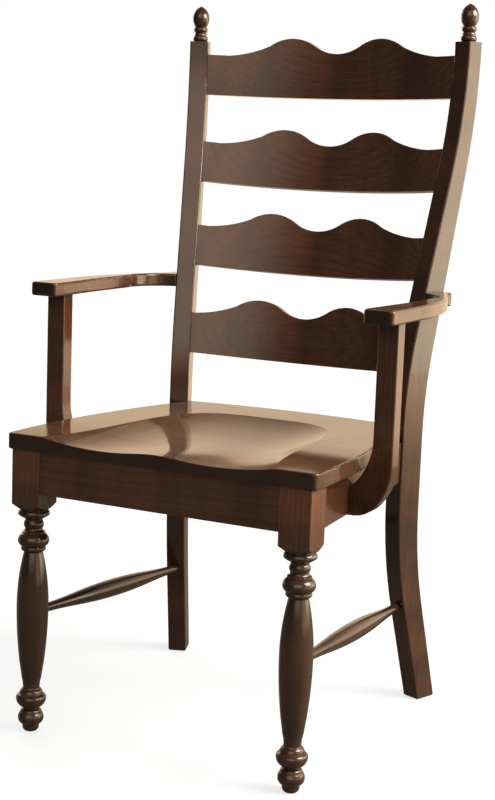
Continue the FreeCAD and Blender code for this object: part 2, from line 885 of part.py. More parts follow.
def make_block(name, corner_x, corner_y, apron_y, way):
    near = s.block_near
    far = s.block_far
    side_near = corner_y + way * near
    side_far = corner_y + way * far
    outline = [
        (corner_x - near, apron_y),
        (side_apron_x(side_near, s.apron_thick), side_near),
        (side_apron_x(side_far, s.apron_thick), side_far),
        (corner_x - far, apron_y),
    ]
    body = new_body(name + "_blank")
    new_pad(body, "XY_Plane", outline, s.block_height, height=seat_bottom - s.block_height)
    place(body)
    reach = (near + far) / 2
    level = seat_bottom - s.block_height / 2
    depth = s.block_screw_in_block
    side_y = corner_y + way * reach
    end_screw, end_bore = new_screw(
        name + "_end_screw", s.block_screw_length, s.block_far,
        x=corner_x - reach, y=apron_y + way * depth, z=level, tilt=way * 90)
    side_screw, side_bore = new_screw(
        name + "_side_screw", s.block_screw_length, s.block_far,
        x=side_apron_x(side_y, s.apron_thick + depth), y=side_y, z=level, tilt=-90, turn=-90)
    middle_x = (outline[0][0] + outline[1][0] + outline[2][0] + outline[3][0]) / 4
    middle_y = (outline[0][1] + outline[1][1] + outline[2][1] + outline[3][1]) / 4
    up_screw, up_bore = new_screw(
        name + "_seat_screw", s.seat_screw_length, s.block_height,
        x=middle_x, y=middle_y, z=seat_bottom - s.block_height + s.seat_screw_recess)
    block = cut(name, body, [end_screw, end_bore, side_screw, side_bore, up_screw, up_bore])
    return block, end_screw, side_screw, up_screw


# Seat

def make_seat_blank():
    body = new_body("seat_blank")
    out = seat_half_width
    corner = s.seat_corner_round
    edge_x, edge_y = on_post(s.seat_edge_on_post, 0)
    rear_x, rear_y = on_post(0, s.seat_rear_on_post)
    side_bend = easing_radius(out - edge_x, edge_y - half_block)
    rear_bend = easing_radius(s.seat_rear_bow, rear_x)
    outline = [
        (-out + corner, seat_front, corner),
        (out - corner, seat_front),
        (out, seat_front + corner, corner),
        (out, half_block),
        (edge_x, edge_y, side_bend),
        on_post(0, 0),
        (rear_x, rear_y),
        (-rear_x, rear_y, rear_bend),
        (-s.post_corner_out, s.post_corner_back),
        (-edge_x, edge_y),
        (-out, half_block, side_bend),
        (-out, seat_front + corner),
    ]
    new_pad(body, "XY_Plane", outline, s.seat_thick, height=seat_bottom)

    def is_free(edge, level):
        box = edge.BoundBox
        on_post_face = edge.Curve.TypeId == "Part::GeomLine" and min(box.XLength, box.YLength) > 1
        return box.ZLength < 0.1 and abs(box.ZMin - level.value) < 0.1 and not on_post_face

    soften(body, s.seat_top_round, lambda edge: is_free(edge, s.seat_rim_height))
    soften(body, s.seat_bottom_round, lambda edge: is_free(edge, seat_bottom))
    place(body)
    return body


# Depth of the scoop below the rim: an oval bowl with a low swell at the front

def scoop_depth(x, y):
    half = s.scoop_half_width.value + s.scoop_front_flare.value * math.exp(-y / s.scoop_flare_length.value)
    gained = s.scoop_rear_depth.value - s.scoop_front_depth.value
    full = s.scoop_rear_depth.value - gained * math.exp(-y / s.scoop_deepening.value)
    bowl = full * (1 - (x / half) ** 4 - (y / s.scoop_length.value) ** 4)
    across = math.exp(-(x / s.swell_half_width.value) ** 2)
    along = math.exp(-(y / s.swell_length.value) ** 2)
    return bowl - s.swell_height.value * across * along


# The scoop is cut by a solid that stands on a smooth surface through a grid of such depths.
# Past the bowl the surface rises out of the seat, so the rim stays flat with a crisp crest behind.

def make_scoop():
    columns = 17
    rows = 15
    margin = 1.08
    half = (s.scoop_half_width.value + s.scoop_front_flare.value) * margin
    length = s.scoop_length.value * margin
    start = -s.seat_corner_round.value
    front = seat_front.value - middle_back.value
    grid = []
    for row in range(rows):
        y = start + (length - start) * row / (rows - 1)
        line = []
        for column in range(columns):
            x = half * (2 * column / (columns - 1) - 1)
            line.append(FreeCAD.Vector(x, front + y, s.seat_rim_height.value - scoop_depth(x, y)))
        grid.append(line)
    surface = Part.BSplineSurface()
    surface.interpolate(grid)
    scoop = document.addObject("Part::Feature", "scoop")
    scoop.Shape = surface.toShape().extrude(FreeCAD.Vector(0, 0, s.seat_thick.value * 2))
    return scoop


# Arms

def make_arm():
    body = new_body("arm_blank")
    corner = s.arm_corner_round
    front_in = support_inner - s.arm_inner_overhang
    front_out = support_outer + s.arm_outer_overhang
    heel_x, heel_y = on_post(s.post_width, s.arm_heel_on_post)
    hook_x, hook_y = on_post(s.post_width, s.arm_hook_on_post)
    outline = [
        (front_in + corner, s.arm_front, corner),
        (front_out - corner, s.arm_front),
        (front_out, s.arm_front + corner, corner),
        (front_out, s.arm_outer_start),
        (front_out - s.arm_shoulder_in, s.arm_shoulder_back, s.arm_shoulder_bend),
        (front_out - s.arm_heel_in, s.arm_heel_back),
        (heel_x, heel_y, s.arm_heel_bend),
        (hook_x, hook_y),
        (front_in + s.arm_waist, s.arm_waist_back, -s.arm_hook_bend),
        (front_in, s.arm_inner_start, -s.arm_waist_bend),
        (front_in, s.arm_front + corner),
    ]
    new_pad(body, "XY_Plane", outline, s.arm_thick, height=arm_underside)
    post_line = Part.makeLine((heel_x.value, heel_y.value, 0), (hook_x.value, hook_y.value, 0))

    def is_outer_edge(edge):
        level = edge.BoundBox.ZLength < 0.1
        middle = edge.valueAt((edge.FirstParameter + edge.LastParameter) / 2)
        middle.z = 0
        return level and post_line.distToShape(Part.Vertex(middle))[0] > 1

    soften(body, s.arm_edge_round, is_outer_edge)
    place(body)
    return body


# Arm supports: the J runs a little way into the side apron, whose face then trims it

def make_support():
    body = new_body("support_blank")
    end = side_apron_x(s.support_front, s.apron_thick / 2)
    bend_top = s.seat_rim_height - s.support_outer_bend_drop
    inner_bend_top = s.seat_rim_height + s.support_inner_bend_rise
    turn_x = support_outer - s.support_outer_bend * (1 - cosine(s.support_outer_sweep))
    turn_z = bend_top - s.support_outer_bend * sine(s.support_outer_sweep)
    curl_x = turn_x - s.support_curl_bend * cosine(s.support_outer_sweep)
    curl_z = turn_z + s.support_curl_bend * sine(s.support_outer_sweep)
    if curl_x.value > end.value:
        curl_bottom = curl_z - s.support_curl_bend
        foot = [(end, curl_bottom), (curl_x, curl_bottom)]
    else:
        past = end - curl_x
        foot = [(end, curl_z - root(s.support_curl_bend * s.support_curl_bend - past * past))]
    bend_x = support_inner - s.support_inner_bend
    inner_end = inner_bend_top - root(
        s.support_inner_bend * s.support_inner_bend - (end - bend_x) * (end - bend_x))
    outline = [
        *foot,
        (turn_x, turn_z, s.support_curl_bend),
        (support_outer, bend_top, s.support_outer_bend),
        (support_outer, arm_underside),
        (support_inner, arm_underside),
        (support_inner, inner_bend_top),
        (end, inner_end, -s.support_inner_bend),
    ]
    new_pad(body, "XZ_Plane", outline, s.support_thick, reversed_way=True)

    def is_long_edge(edge):
        box = edge.BoundBox
        at_end = box.XMax < end.value + 0.1 or box.ZMin > arm_underside.value - 0.1
        return box.YLength < 0.1 and not at_end

    soften(body, s.support_edge_round, is_long_edge)
    place(body, 0, s.support_front)
    return body


front_apron_blank = make_front_apron()
side_apron_blank = make_side_apron()
back_apron_blank = make_back_apron()

apron_back_face = -half_block + s.apron_setback + s.apron_thick
front_block = make_block("corner_block_front_left", s.leg_half_spread - half_block, half_block,
                         apron_back_face, 1)
rear_block = make_block("corner_block_rear_left", s.post_corner_out, s.post_corner_back,
                        s.post_corner_back + s.back_apron_setback, -1)

stretcher = make_stretcher()
finial = make_finial()
slat_room = make_slat_room()
slats = [make_slat(number, height, slat_room) for number, height in enumerate(slat_heights, start=1)]

# Arm and what fixes it

support_middle_y = s.support_front + s.support_thick / 2
support_middle_x = support_outer - s.support_width / 2
dowels = []
for side in (-1, 1):
    dowel = new_cylinder(f"dowel_{side + 1}", s.dowel_radius, s.dowel_in_support + s.dowel_in_arm)
    place(dowel, support_middle_x + side * s.dowel_spacing / 2, support_middle_y,
          arm_underside - s.dowel_in_support)
    dowels.append(dowel)

low_screw = apron_bottom + s.support_screw_rise
support_screws = []
for level in (low_screw, low_screw + s.support_screw_spacing):
    screw, bore = new_screw(
        "support_screw", s.support_screw_length, s.support_thick,
        x=side_apron_x(support_middle_y, s.apron_thick), y=support_middle_y, z=level, tilt=-90, turn=-90)
    support_screws.append(screw)

arm_level = arm_underside + s.arm_thick / 2
screw_x, screw_y = on_post(s.plug_depth, s.arm_screw_on_post)
arm_screw, arm_screw_bore = new_screw(
    "arm_screw", s.arm_screw_length, s.plug_depth,
    x=screw_x, y=screw_y, z=arm_level, tilt=-90, turn=-90 - s.post_turn)
plug = new_cylinder("plug", s.plug_radius, s.plug_depth)
plug_x, plug_y = on_post(0, s.arm_screw_on_post)
place(plug, plug_x, plug_y, arm_level, tilt=-90, turn=-90 - s.post_turn)

block_screws = [front_block[1], front_block[2], rear_block[1], rear_block[2]]
seat_screws = [front_block[3], rear_block[3]]

# Pieces of the left side, cut for what is let into them

left = {
    "front_leg": cut("front_leg_left", make_leg(), [front_apron_blank, side_apron_blank, stretcher]),
    "back_post": cut("back_post_left", make_post(),
                     slats + [side_apron_blank, back_apron_blank, stretcher, finial, arm_screw, plug]),
    "finial": finial,
    "side_apron": cut("side_apron_left", side_apron_blank,
                      [front_block[2], rear_block[2]] + support_screws),
    "corner_block_front": front_block[0],
    "corner_block_rear": rear_block[0],
    "arm": cut("arm_left", make_arm(), [arm_screw] + dowels),
    "arm_support": cut("arm_support_left", make_support(), [side_apron_blank] + dowels + support_screws),
    "side_stretcher": stretcher,
}
nodes = {}
for name, piece in left.items():
    nodes[name + "_left"] = piece
    nodes[name + "_right"] = mirror(name + "_right", piece)

# Small pieces, one node for each kind

small = {
    "corner_block_screws": block_screws,
    "seat_screws": seat_screws,
    "arm_post_screws": [arm_screw],
    "arm_post_plugs": [plug],
    "arm_support_screws": support_screws,
    "arm_dowels": dowels,
}
for name, pieces in small.items():
    one_side = group(name + "_left", pieces)
    other_side = mirror(name + "_right", one_side)
    nodes[name] = group(name, [one_side, other_side])

# Pieces that run from side to side

for slat in slats:
    nodes[slat.Label] = slat
front_screws = group("front_screws", [front_block[1]])
nodes["front_apron"] = cut("front_apron", front_apron_blank,
                           [front_screws, mirror("front_screws_right", front_screws)])
rear_screws = group("rear_screws", [rear_block[1]])
nodes["back_apron"] = cut("back_apron", back_apron_blank,
                          [rear_screws, mirror("rear_screws_right", rear_screws)])

seat = cut("seat", make_seat_blank(), [make_scoop(), nodes["seat_screws"]])
board_count = 5
board_width = seat_half_width * 2 / board_count
for index in range(board_count):
    saw = document.addObject("Part::Box", f"board_{index + 1}")
    saw.setExpression("Length", board_width.formula)
    saw.setExpression("Width", (back_crown + s.post_corner_back).formula)
    saw.setExpression("Height", (s.seat_thick * 2).formula)
    place(saw, -seat_half_width + board_width * index, seat_front, seat_bottom)
    board = document.addObject("Part::Common", f"seat_board_{index + 1}")
    board.Base = seat
    board.Tool = saw
    board.Label = board.Name
    nodes[board.Label] = board

document.recompute()

# Nothing is written unless every object is sound

for item in document.Objects:
    if "Invalid" in item.State or "Error" in item.State:
        raise RuntimeError(f"{item.Label} failed: {item.State}")
for name, piece in nodes.items():
    if piece.Shape.isNull() or not piece.Shape.isValid() or not piece.Shape.Solids:
        raise RuntimeError(f"{name} has no sound shape")

os.makedirs("parts", exist_ok=True)
for name, piece in nodes.items():
    piece.Shape.exportStep(f"parts/{name}.step")
print(len(nodes), "pieces written")
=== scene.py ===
from math import pi, radians

import bmesh
import bpy
from mathutils import Matrix, Vector


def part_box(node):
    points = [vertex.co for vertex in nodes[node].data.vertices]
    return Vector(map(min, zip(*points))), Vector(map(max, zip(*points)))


# x is the sitter's left, y the back of the chair, z up, all in metres

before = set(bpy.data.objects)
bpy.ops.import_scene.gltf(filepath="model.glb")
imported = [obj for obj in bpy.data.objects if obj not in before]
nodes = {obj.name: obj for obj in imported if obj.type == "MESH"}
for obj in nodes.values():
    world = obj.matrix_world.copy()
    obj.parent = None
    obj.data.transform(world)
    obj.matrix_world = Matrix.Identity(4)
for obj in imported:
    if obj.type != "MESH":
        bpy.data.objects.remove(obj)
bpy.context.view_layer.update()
print("chair loaded,", len(nodes), "pieces")


# Shader helpers: an input is a plain value or the socket that feeds it

def addNode(tree, kind, inputs=None, **settings):
    node = tree.nodes.new(kind)
    for name, value in settings.items():
        setattr(node, name, value)
    for name, value in (inputs or {}).items():
        socket = node.inputs[name]
        if isinstance(value, bpy.types.NodeSocket):
            tree.links.new(value, socket)
        else:
            socket.default_value = value
    return node


def maths(tree, operation, first, second=0.0):
    inputs = {0: first, 1: second}
    return addNode(tree, "ShaderNodeMath", inputs, operation=operation).outputs[0]


def vectorMaths(tree, operation, *vectors):
    node = addNode(tree, "ShaderNodeVectorMath", dict(enumerate(vectors)), operation=operation)
    return node.outputs["Value" if operation in ("DOT_PRODUCT", "LENGTH") else "Vector"]


def mixColours(tree, factor, first, second):
    inputs = {0: factor, 6: first, 7: second}  # the colour sockets of a node that mixes any kind
    return addNode(tree, "ShaderNodeMix", inputs, data_type="RGBA").outputs[2]


def opaque(colour):
    return (*colour, 1.0)


def spread(tree, value, low, high, toLow=0.0, toHigh=1.0, smooth=False):
    node = addNode(tree, "ShaderNodeMapRange", {
        "Value": value, "From Min": low, "From Max": high, "To Min": toLow, "To Max": toHigh,
    }, interpolation_type="SMOOTHSTEP" if smooth else "LINEAR")
    return node.outputs["Result"]


def noise(tree, vector, scale, detail, roughness=0.5):
    node = addNode(tree, "ShaderNodeTexNoise", {
        "Vector": vector, "Scale": scale, "Detail": detail, "Roughness": roughness,
    })
    return node.outputs["Fac"]


def newGroup(name, inputs, outputs):
    tree = bpy.data.node_groups.new(name, "ShaderNodeTree")
    for label, (kind, default) in inputs.items():
        socket = tree.interface.new_socket(label, in_out="INPUT", socket_type=kind)
        socket.default_value = default
    for label, kind in outputs.items():
        tree.interface.new_socket(label, in_out="OUTPUT", socket_type=kind)
    entry = tree.nodes.new("NodeGroupInput")
    result = tree.nodes.new("NodeGroupOutput")
    return tree, entry.outputs, result.inputs


# Figure of sawn wood whose grain runs along the pattern's z: growth rings round a pith
# outside the board, pores and fibres, and slow changes of tone

figure = {
    "wander": {"stretch": (7.0, 7.0, 1.6), "detail": 2.0},
    "wanderBy": 0.02,  # how far the rings stray
    "lateFrom": 0.35, "lateTo": 0.92, "ringEnd": 0.93,  # a ring darkens slowly and ends sharply
    "fibres": {"stretch": (420.0, 420.0, 9.0), "detail": 3.0, "roughness": 0.6},
    "pores": {"stretch": (1100.0, 1100.0, 42.0), "detail": 1.0},
    "poreFrom": 0.60, "poreTo": 0.72,
    "cloud": {"stretch": (3.6, 3.6, 10.0), "detail": 3.0, "roughness": 0.55},
}


def figureNoise(tree, point, stretch, detail, roughness=0.5):
    return noise(tree, vectorMaths(tree, "MULTIPLY", point, stretch), 1.0, detail, roughness)


def makeFigure():
    tree, given, result = newGroup("woodFigure", {
        "Vector": ("NodeSocketVector", (0.0, 0.0, 0.0)),
        "Pith": ("NodeSocketVector", (0.09, 0.05, 0.0)),
        "Ring Width": ("NodeSocketFloat", 0.006),
    }, {
        "Rings": "NodeSocketFloat", "Fibres": "NodeSocketFloat",
        "Pores": "NodeSocketFloat", "Cloud": "NodeSocketFloat",
    })
    point = given["Vector"]
    wander = maths(tree, "SUBTRACT", figureNoise(tree, point, **figure["wander"]), 0.5)
    bend = maths(tree, "MULTIPLY", wander, figure["wanderBy"])
    fromPith = vectorMaths(tree, "SUBTRACT", point, given["Pith"])
    flat = vectorMaths(tree, "MULTIPLY", fromPith, (1.0, 1.0, 0.0))
    length = vectorMaths(tree, "LENGTH", flat)
    count = maths(tree, "DIVIDE", maths(tree, "ADD", length, bend), given["Ring Width"])
    phase = maths(tree, "FRACT", count)
    late = spread(tree, phase, figure["lateFrom"], figure["lateTo"], smooth=True)
    edge = spread(tree, phase, figure["ringEnd"], 1.0, 1.0, 0.0)
    tree.links.new(maths(tree, "MULTIPLY", late, edge), result["Rings"])
    tree.links.new(figureNoise(tree, point, **figure["fibres"]), result["Fibres"])
    pores = figureNoise(tree, point, **figure["pores"])
    tree.links.new(spread(tree, pores, figure["poreFrom"], figure["poreTo"]), result["Pores"])
    tree.links.new(figureNoise(tree, point, **figure["cloud"]), result["Cloud"])
    return tree


# Stain soaks deeper into end grain and is rubbed thin on edges. Painted shade darkens recesses,
# found by ambient occlusion, and whole pieces or their lower parts, given as an input

stainAndShade = {
    "cloudFrom": 0.32, "cloudTo": 0.68,
    "ringShare": 0.2,
    "fibreFrom": 0.42, "fibreTo": 0.72, "fibreShare": 0.4,
    "poreShare": 0.55,
    "endFrom": 0.55, "endTo": 0.95, "endShare": 0.9,  # end grain, by the cosine to the grain
    # painted shade in recesses: how far occlusion looks, and how dark it paints
    "recessReach": 0.012, "recessFrom": 0.35, "recessTo": 0.8, "recessShare": 0.75,
    "wornFrom": 0.995, "wornTo": 0.90,  # cosines between a face and its eased edge
    "hazeFrom": 0.3, "hazeTo": 0.7, "hazeLeast": 0.85, "hazeMost": 1.25, "poreHaze": 0.08,
    "poreHeight": -0.6, "fibreHeight": 0.5,
    "samples": 4,
}


def makeStainAndShade(figureGroup):
    colour = "NodeSocketColor"
    number = "NodeSocketFloat"
    vector = "NodeSocketVector"
    tree, given, result = newGroup("rubbedStainAndShade", {
        "Vector": (vector, (0.0, 0.0, 0.0)),
        "Pith": (vector, (0.09, 0.05, 0.0)),
        "Grain Way": (vector, (0.0, 0.0, 1.0)),
        "Ring Width": (number, 0.006),
        "Deep": (colour, (0.02, 0.01, 0.006, 1.0)),
        "Middle": (colour, (0.05, 0.02, 0.012, 1.0)),
        "Glow": (colour, (0.1, 0.04, 0.02, 1.0)),
        "Rub": (number, 0.5),
        "Ease": (number, 0.0012),
        # painted shade on the whole piece or on its lower part
        "Painted Shade": (number, 0.0),
        "Haze": (number, 0.15),
    }, {"Color": colour, "Roughness": number, "Height": number, "Normal": vector})
    deep = given["Deep"]
    surface = addNode(tree, "ShaderNodeNewGeometry").outputs["Normal"]
    shared = {label: given[label] for label in ("Vector", "Pith", "Ring Width")}
    seen = addNode(tree, "ShaderNodeGroup", shared, node_tree=figureGroup).outputs
    cloud = seen["Cloud"]
    fibres = seen["Fibres"]
    pores = seen["Pores"]

    tone = spread(tree, cloud, stainAndShade["cloudFrom"], stainAndShade["cloudTo"], smooth=True)
    body = mixColours(tree, tone, given["Middle"], given["Glow"])
    ringShare = maths(tree, "MULTIPLY", seen["Rings"], stainAndShade["ringShare"])
    ringed = mixColours(tree, ringShare, body, deep)
    fibreShare = spread(tree, fibres, stainAndShade["fibreFrom"], stainAndShade["fibreTo"],
                        0.0, stainAndShade["fibreShare"])
    fibred = mixColours(tree, fibreShare, ringed, deep)
    poreShare = maths(tree, "MULTIPLY", pores, stainAndShade["poreShare"])
    pored = mixColours(tree, poreShare, fibred, deep)

    across = maths(tree, "ABSOLUTE", vectorMaths(tree, "DOT_PRODUCT", surface, given["Grain Way"]))
    endGrain = spread(tree, across, stainAndShade["endFrom"], stainAndShade["endTo"], smooth=True)
    endShare = maths(tree, "MULTIPLY", endGrain, stainAndShade["endShare"])
    # end grain, a real stain, and the piece's painted shade both darken towards the deep colour
    endsAndShade = mixColours(tree, maths(tree, "MAXIMUM", endShare, given["Painted Shade"]), pored, deep)

    # painted shade: darker where ambient occlusion finds a recess
    shut = addNode(tree, "ShaderNodeAmbientOcclusion", {"Distance": stainAndShade["recessReach"]},
                   samples=stainAndShade["samples"]).outputs["AO"]
    recessShade = spread(tree, shut, stainAndShade["recessFrom"], stainAndShade["recessTo"],
                    stainAndShade["recessShare"], 0.0)
    recessShaded = mixColours(tree, recessShade, endsAndShade, deep)
    rounded = addNode(tree, "ShaderNodeBevel", {"Radius": given["Ease"]},
                      samples=stainAndShade["samples"]).outputs["Normal"]
    turned = vectorMaths(tree, "DOT_PRODUCT", rounded, surface)
    edges = spread(tree, turned, stainAndShade["wornFrom"], stainAndShade["wornTo"])
    worn = maths(tree, "MULTIPLY", edges, given["Rub"])
    tree.links.new(mixColours(tree, worn, recessShaded, given["Glow"]), result["Color"])

    patchy = spread(tree, cloud, stainAndShade["hazeFrom"], stainAndShade["hazeTo"],
                    stainAndShade["hazeLeast"], stainAndShade["hazeMost"])
    haze = maths(tree, "MULTIPLY", patchy, given["Haze"])
    poreHaze = maths(tree, "MULTIPLY", pores, stainAndShade["poreHaze"])
    tree.links.new(maths(tree, "ADD", haze, poreHaze), result["Roughness"])
    grooves = maths(tree, "MULTIPLY", pores, stainAndShade["poreHeight"])
    ridges = maths(tree, "MULTIPLY", fibres, stainAndShade["fibreHeight"])
    tree.links.new(maths(tree, "ADD", grooves, ridges), result["Height"])
    tree.links.new(rounded, result["Normal"])
    return tree


stainAndShadeGroup = makeStainAndShade(makeFigure())

# The lacquered stains and the bare wood. The seat's front edge rolls off by lipDrop over a
# length of lip, in its shading alone.

espresso = {
    "deep": (0.012, 0.0068, 0.0042),
    "middle": (0.055, 0.0225, 0.0115),
    "glow": (0.130, 0.0460, 0.0205),
    "rub": 0.55, "ease": 0.0013, "relief": 0.00006,
    "haze": 0.16, "coat": 0.3, "coatRoughness": 0.05,
}
seatStain = {
    "deep": (0.030, 0.015, 0.009),
    "middle": (0.074, 0.034, 0.019),
    "glow": (0.150, 0.066, 0.034),
    "rub": 0.0, "ease": 0.0, "relief": 0.00004,
    "haze": 0.10, "coat": 0.1, "coatRoughness": 0.03,
    "lip": 0.15, "lipDrop": 0.0045, "lipFrom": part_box("seat_board_3")[0].y,
}
plugStain = {
    "deep": (0.010, 0.006, 0.004),
    "middle": (0.022, 0.011, 0.007),
    "glow": (0.040, 0.018, 0.011),
    "rub": 0.0, "ease": 0.0008, "relief": 0.00006,
    "haze": 0.16, "coat": 0.3, "coatRoughness": 0.05,
}
bareWood = {
    "deep": (0.30, 0.19, 0.10),
    "middle": (0.52, 0.37, 0.22),
    "glow": (0.62, 0.46, 0.29),
    "rub": 0.0, "ease": 0.0008, "relief": 0.0001,
    "haze": 0.5, "coat": 0.0, "coatRoughness": 0.4,
}
reliefStrength = 0.5

# Pieces darkened all over or below a height by painted shade, though their finish is the same: how
# much, and below what height
legBlock = 0.083
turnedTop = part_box("front_leg_left")[1].z - legBlock
allOver = 2.0
paintedShadeFade = 0.004
paintedShades = {
    "front_leg_left": (0.8, turnedTop),
    "front_leg_right": (0.8, turnedTop),
    "finial_left": (0.45, allOver),
    "finial_right": (0.45, allOver),
    "back_post_left": (0.35, allOver),
    "back_post_right": (0.35, allOver),
    "side_stretcher_left": (0.6, allOver),
    "side_stretcher_right": (0.6, allOver),
}
grainWays = {  # turns of the pattern's z to the way that the grain runs
    "x": ((0.0, pi / 2, 0.0), (1.0, 0.0, 0.0)),
    "y": ((-pi / 2, 0.0, 0.0), (0.0, 1.0, 0.0)),
    "z": ((0.0, 0.0, 0.0), (0.0, 0.0, 1.0)),
}

# Every piece is cut from its own plank: its grain, pith, ring width and tone
planks = {
    "back_post_left": ("z", (0.11, -0.06, 0.0), 0.0052, 1.0),
    "back_post_right": ("z", (-0.10, -0.07, 0.3), 0.0048, 1.06),
    "finial_left": ("z", (0.03, 0.02, 0.1), 0.0045, 0.95),
    "finial_right": ("z", (-0.03, 0.025, 0.4), 0.0045, 1.0),
    "front_leg_left": ("z", (0.07, 0.04, 0.7), 0.0050, 1.9),
    "front_leg_right": ("z", (-0.08, 0.03, 0.2), 0.0054, 1.8),
    "slat_1": ("x", (-0.05, 0.10, 0.1), 0.0062, 1.0),
    "slat_2": ("x", (-0.02, 0.12, 0.9), 0.0058, 1.08),
    "slat_3": ("x", (-0.07, -0.10, 0.5), 0.0064, 1.04),
    "slat_4": ("x", (0.02, 0.11, 0.3), 0.0056, 0.94),
    "front_apron": ("x", (0.04, -0.12, 0.9), 0.0056, 1.2),
    "back_apron": ("x", (-0.03, 0.12, 0.6), 0.0056, 1.0),
    "side_apron_left": ("y", (0.10, 0.04, 0.3), 0.0056, 0.92),
    "side_apron_right": ("y", (-0.11, 0.03, 0.8), 0.0056, 1.0),
    "arm_left": ("y", (0.03, -0.11, 0.4), 0.0060, 1.0),
    "arm_right": ("y", (-0.02, -0.12, 0.9), 0.0060, 1.05),
    "arm_support_left": ("z", (0.09, 0.06, 0.6), 0.0052, 0.96),
    "arm_support_right": ("z", (-0.08, 0.07, 0.1), 0.0052, 1.04),
    "side_stretcher_left": ("y", (0.04, 0.05, 0.2), 0.0046, 1.0),
    "side_stretcher_right": ("y", (-0.05, 0.03, 0.5), 0.0046, 1.0),
}
boards = {
    "seat_board_1": ("y", (-0.05, 0.09, 0.4), 0.0060, 0.96),
    "seat_board_2": ("y", (0.03, -0.12, 0.8), 0.0054, 1.10),
    "seat_board_3": ("y", (-0.01, 0.10, 0.1), 0.0064, 0.98),
    "seat_board_4": ("y", (0.06, -0.10, 0.6), 0.0058, 1.08),
    "seat_board_5": ("y", (-0.04, 0.11, 0.2), 0.0060, 0.97),
}
blocks = {
    "corner_block_front_left": ("x", (0.05, 0.05, 0.1), 0.0050, 1.0),
    "corner_block_front_right": ("x", (-0.05, 0.06, 0.5), 0.0050, 0.95),
    "corner_block_rear_left": ("x", (0.06, -0.05, 0.3), 0.0050, 1.04),
    "corner_block_rear_right": ("x", (-0.06, 0.05, 0.7), 0.0050, 1.0),
    "arm_dowels": ("z", (0.03, 0.02, 0.2), 0.0030, 1.0),
}
plugs = {"arm_post_plugs": ("z", (0.02, 0.03, 0.3), 0.0025, 1.0)}


def woodMaterial(name, stain, grain, centre, pith, ringWidth, tone):
    material = bpy.data.materials.new(name + "Wood")
    material.use_nodes = True
    tree = material.node_tree
    shader = tree.nodes["Principled BSDF"]
    turn, way = grainWays[grain]
    place = addNode(tree, "ShaderNodeTexCoord").outputs["Object"]
    mapped = addNode(tree, "ShaderNodeMapping", {
        "Vector": place, "Location": centre, "Rotation": turn,
    }, vector_type="TEXTURE").outputs["Vector"]
    deep, middle, glow = (opaque(part * tone for part in stain[key])
                          for key in ("deep", "middle", "glow"))
    inputs = {
        "Vector": mapped, "Pith": pith, "Grain Way": way, "Ring Width": ringWidth,
        "Deep": deep, "Middle": middle, "Glow": glow,
        "Rub": stain["rub"], "Ease": stain["ease"], "Haze": stain["haze"],
    }
    # painted shade, fading in below the given height
    if name in paintedShades:
        share, below = paintedShades[name]
        height = addNode(tree, "ShaderNodeSeparateXYZ", {"Vector": place}).outputs["Z"]
        inputs["Painted Shade"] = spread(tree, height, below - paintedShadeFade, below, share, 0.0)
    stained = addNode(tree, "ShaderNodeGroup", inputs, node_tree=stainAndShadeGroup).outputs
    normal = stained["Normal"]
    if "lip" in stain:
        lipEnd = stain["lipFrom"] + stain["lip"]
        depth = addNode(tree, "ShaderNodeSeparateXYZ", {"Vector": place}).outputs["Y"]
        near = spread(tree, depth, stain["lipFrom"], lipEnd, 1.0, 0.0)
        drop = maths(tree, "MULTIPLY", maths(tree, "MULTIPLY", near, near), -stain["lipDrop"])
        normal = addNode(tree, "ShaderNodeBump", {
            "Strength": 1.0, "Distance": 1.0, "Height": drop, "Normal": normal,
        }).outputs["Normal"]
    relief = addNode(tree, "ShaderNodeBump", {
        "Strength": reliefStrength, "Distance": stain["relief"],
        "Height": stained["Height"], "Normal": normal,
    })
    tree.links.new(stained["Color"], shader.inputs["Base Color"])
    tree.links.new(stained["Roughness"], shader.inputs["Roughness"])
    tree.links.new(relief.outputs["Normal"], shader.inputs["Normal"])
    shader.inputs["Coat Weight"].default_value = stain["coat"]
    shader.inputs["Coat Roughness"].default_value = stain["coatRoughness"]
    return material


def dress(name, material):
    mesh = nodes[name].data
    mesh.materials.clear()
    mesh.materials.append(material)


stains = ((planks, espresso), (boards, seatStain), (blocks, bareWood), (plugs, plugStain))
for table, stain in stains:
    for name, (grain, pith, ringWidth, tone) in table.items():
        low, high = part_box(name)
        centre = (low + high) / 2
        dress(name, woodMaterial(name, stain, grain, centre, pith, ringWidth, tone))
print("wood dressed")


# Zinc-plated screws: a faint spangle in their tint and gloss

zincPlate = {
    "spangle": 900.0, "detail": 3.0, "roughness": 0.6,
    "dark": (0.46, 0.46, 0.48), "bright": (0.66, 0.66, 0.68),
    "spangleFrom": 0.3, "spangleTo": 0.7, "glossy": 0.24, "dull": 0.42,
    "relief": 0.00002, "reliefStrength": 0.3,
}


def steelMaterial():
    material = bpy.data.materials.new("zincScrew")
    material.use_nodes = True
    tree = material.node_tree
    shader = tree.nodes["Principled BSDF"]
    place = addNode(tree, "ShaderNodeTexCoord").outputs["Object"]
    spangle = noise(tree, place, zincPlate["spangle"], zincPlate["detail"],
                    zincPlate["roughness"])
    tint = mixColours(tree, spangle, opaque(zincPlate["dark"]), opaque(zincPlate["bright"]))
    gloss = spread(tree, spangle, zincPlate["spangleFrom"], zincPlate["spangleTo"],
                   zincPlate["glossy"], zincPlate["dull"])
    relief = addNode(tree, "ShaderNodeBump", {
        "Strength": zincPlate["reliefStrength"], "Distance": zincPlate["relief"],
        "Height": spangle,
    })
    tree.links.new(tint, shader.inputs["Base Color"])
    tree.links.new(gloss, shader.inputs["Roughness"])
    tree.links.new(relief.outputs["Normal"], shader.inputs["Normal"])
    shader.inputs["Metallic"].default_value = 1.0
    return material


zinc = steelMaterial()
for name in ("arm_post_screws", "arm_support_screws", "corner_block_screws", "seat_screws"):
    dress(name, zinc)
print("screws dressed")


# What the lacquer mirrors: a warm wall behind and beside the chair, a dark one in front, and a
# large soft light in front, which shows in the slats' left ends

